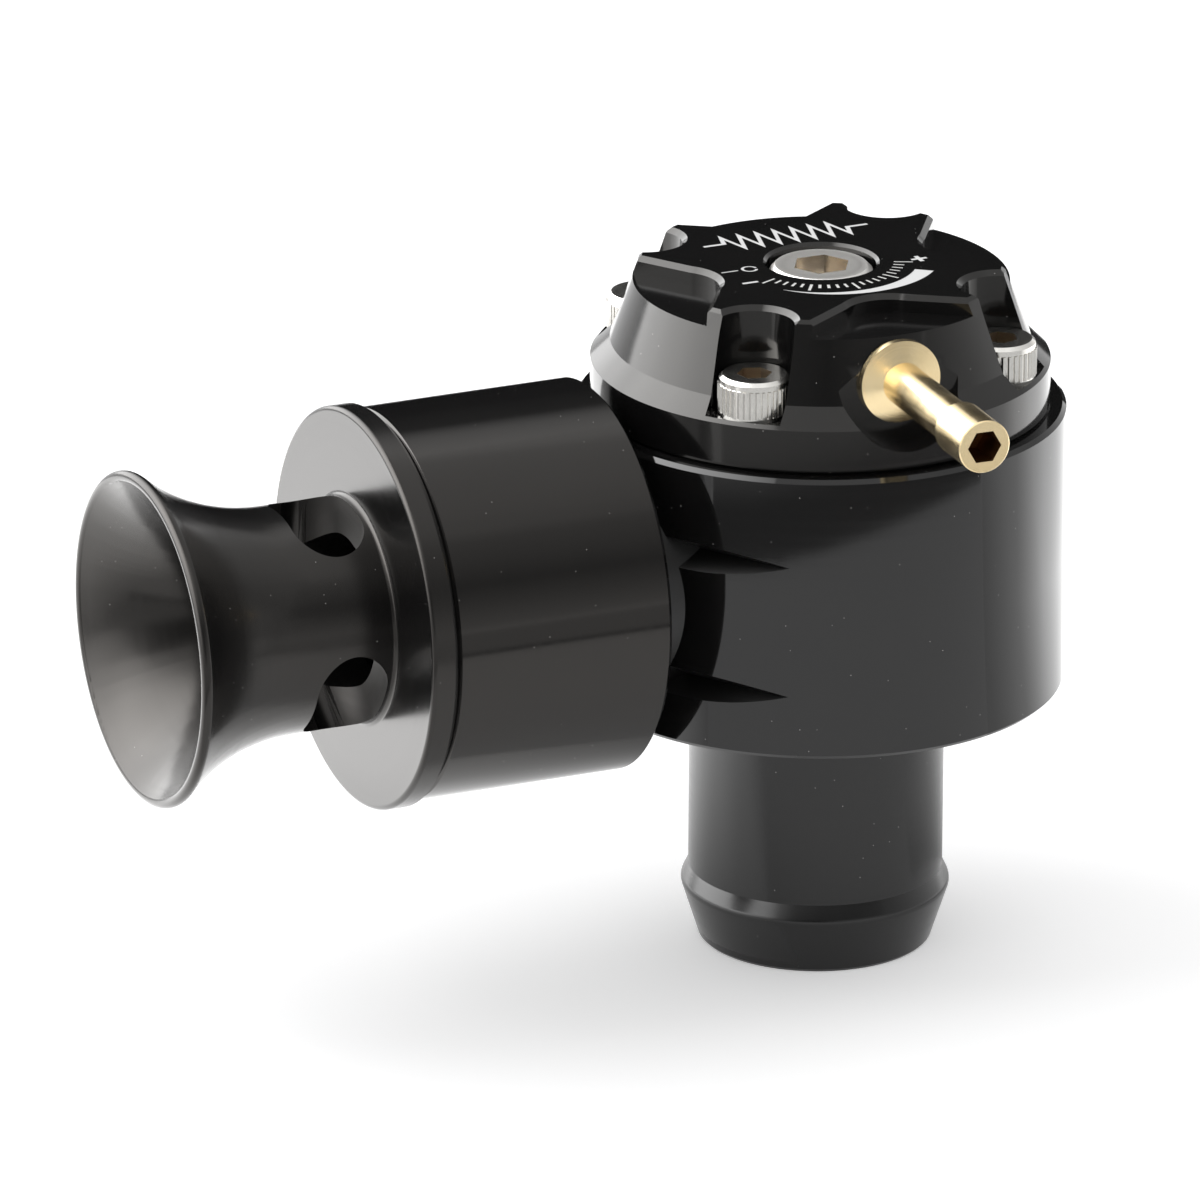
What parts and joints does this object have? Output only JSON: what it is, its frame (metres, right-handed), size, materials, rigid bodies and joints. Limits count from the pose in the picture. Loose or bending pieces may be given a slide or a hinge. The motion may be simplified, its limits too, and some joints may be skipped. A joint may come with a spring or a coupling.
{
  "type": "blow off valve",
  "caption": "Piston blow off valve with a beaded hose spigot, a bolted star-shaped cap with a spring adjuster and vacuum nipple, and a flared side trumpet with windows.",
  "frame": {"origin": "centre of the inlet bore at the free end of the hose spigot", "axes": "+Z along the piston's axis towards the cap, -X along the outlet trumpet, -Y along the vacuum nipple"},
  "size_m": [0.0959, 0.0638, 0.0697],
  "materials": {
    "black_anodised": "satin black anodised, turned",
    "stainless": "bright stainless with knurled heads",
    "nipple_brass": "bright turned brass",
    "piston_brass": "fine turned brass",
    "seal_rubber": "matte nitrile",
    "spring_steel": "drawn spring wire and stamped rings",
    "bare_aluminium": "turned, uncoated"
  },
  "bodies": {
    "valve": {"main_body": "black_anodised", "inlet_spigot": "black_anodised", "spigot_o_ring": "seal_rubber", "top_cap": "black_anodised", "cap_o_ring": "seal_rubber", "cap_screws": "stainless", "guide_pins": "spring_steel", "main_spring": "spring_steel", "vacuum_nipple": "nipple_brass", "nipple_o_ring": "seal_rubber", "outlet_sleeve": "black_anodised", "sleeve_o_ring": "seal_rubber", "sleeve_circlip": "spring_steel", "trumpet": "black_anodised", "trumpet_o_ring": "seal_rubber"},
    "piston": {"piston": "piston_brass", "piston_o_ring": "seal_rubber", "piston_seat_seal": "seal_rubber"},
    "adjuster": {"adjuster_screw": "stainless", "adjuster_o_ring": "seal_rubber", "adjuster_clip": "spring_steel"},
    "spring_plate": {"spring_seat": "bare_aluminium"}
  },
  "joints": [
    {"name": "piston_lift", "type": "slide", "parent": "valve", "child": "piston", "axis": [0, 0, 1], "range_m": [0, 0.007], "stiffness_N_per_m": 2000, "springref_m": -0.005, "deforming": ["main_spring"]},
    {"name": "adjuster_turn", "type": "hinge", "parent": "valve", "child": "adjuster", "pos_m": [0, 0, 0.0635], "axis": [0, 0, 1], "range_deg": [-720, 720]},
    {"name": "seat_travel", "type": "slide", "parent": "valve", "child": "spring_plate", "axis": [0, 0, 1], "range_m": [-0.00201, 0.00201], "deforming": ["main_spring"]}
  ],
  "couplings": [
    {"joint": "seat_travel", "follows": "adjuster_turn", "m_per_rad": -0.00015915}
  ]
}
